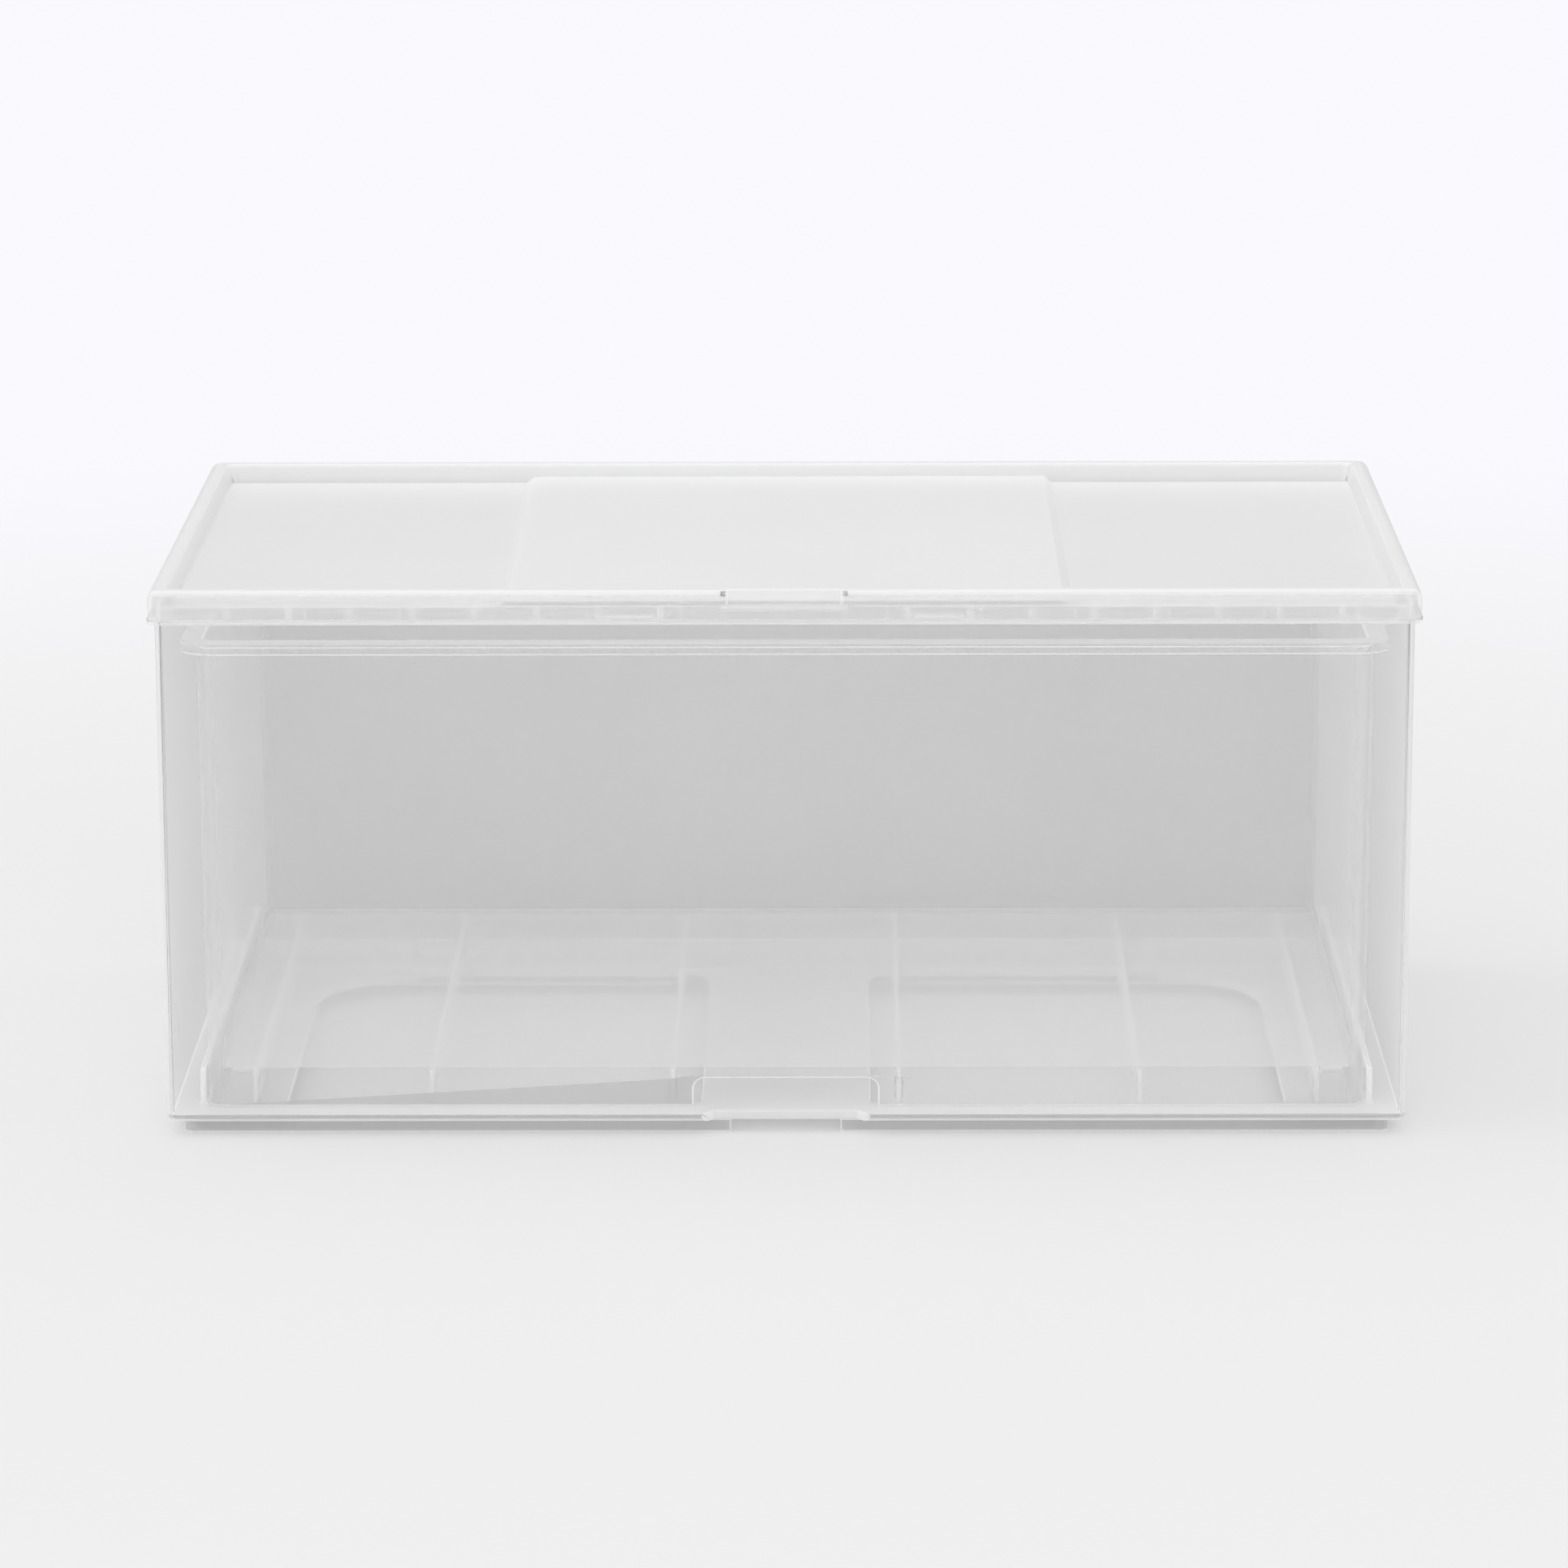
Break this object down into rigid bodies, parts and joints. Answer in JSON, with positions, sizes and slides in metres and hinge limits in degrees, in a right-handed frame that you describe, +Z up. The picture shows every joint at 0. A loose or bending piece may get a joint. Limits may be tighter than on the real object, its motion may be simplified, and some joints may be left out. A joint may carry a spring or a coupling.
{
  "type": "drawer shoe box",
  "caption": "Clear milky plastic shoe box with an open-fronted housing, a drawer that slides out on its long side and a lift-off lid with a stacking tray.",
  "frame": {"origin": "middle of the footprint, on the surface that the foot stands on", "axes": "+X to the right along the long front, +Y to the back, so the drawer opens towards -Y, +Z up"},
  "size_m": [0.34, 0.21, 0.15],
  "materials": {
    "housing_plastic": "smooth milky translucent polypropylene",
    "drawer_plastic": "smooth clear-milky polypropylene",
    "lid_plastic": "fine satin milky polypropylene"
  },
  "bodies": {
    "housing": {"housing": "housing_plastic"},
    "drawer": {"drawer": "drawer_plastic"},
    "lid": {"lid": "lid_plastic"}
  },
  "joints": [
    {"name": "drawer_slide", "type": "slide", "parent": "housing", "child": "drawer", "axis": [0, -1, 0], "range_m": [0, 0.15]},
    {"name": "lid_lift", "type": "slide", "parent": "housing", "child": "lid", "axis": [0, 0, 1], "range_m": [0, 0.06]}
  ]
}
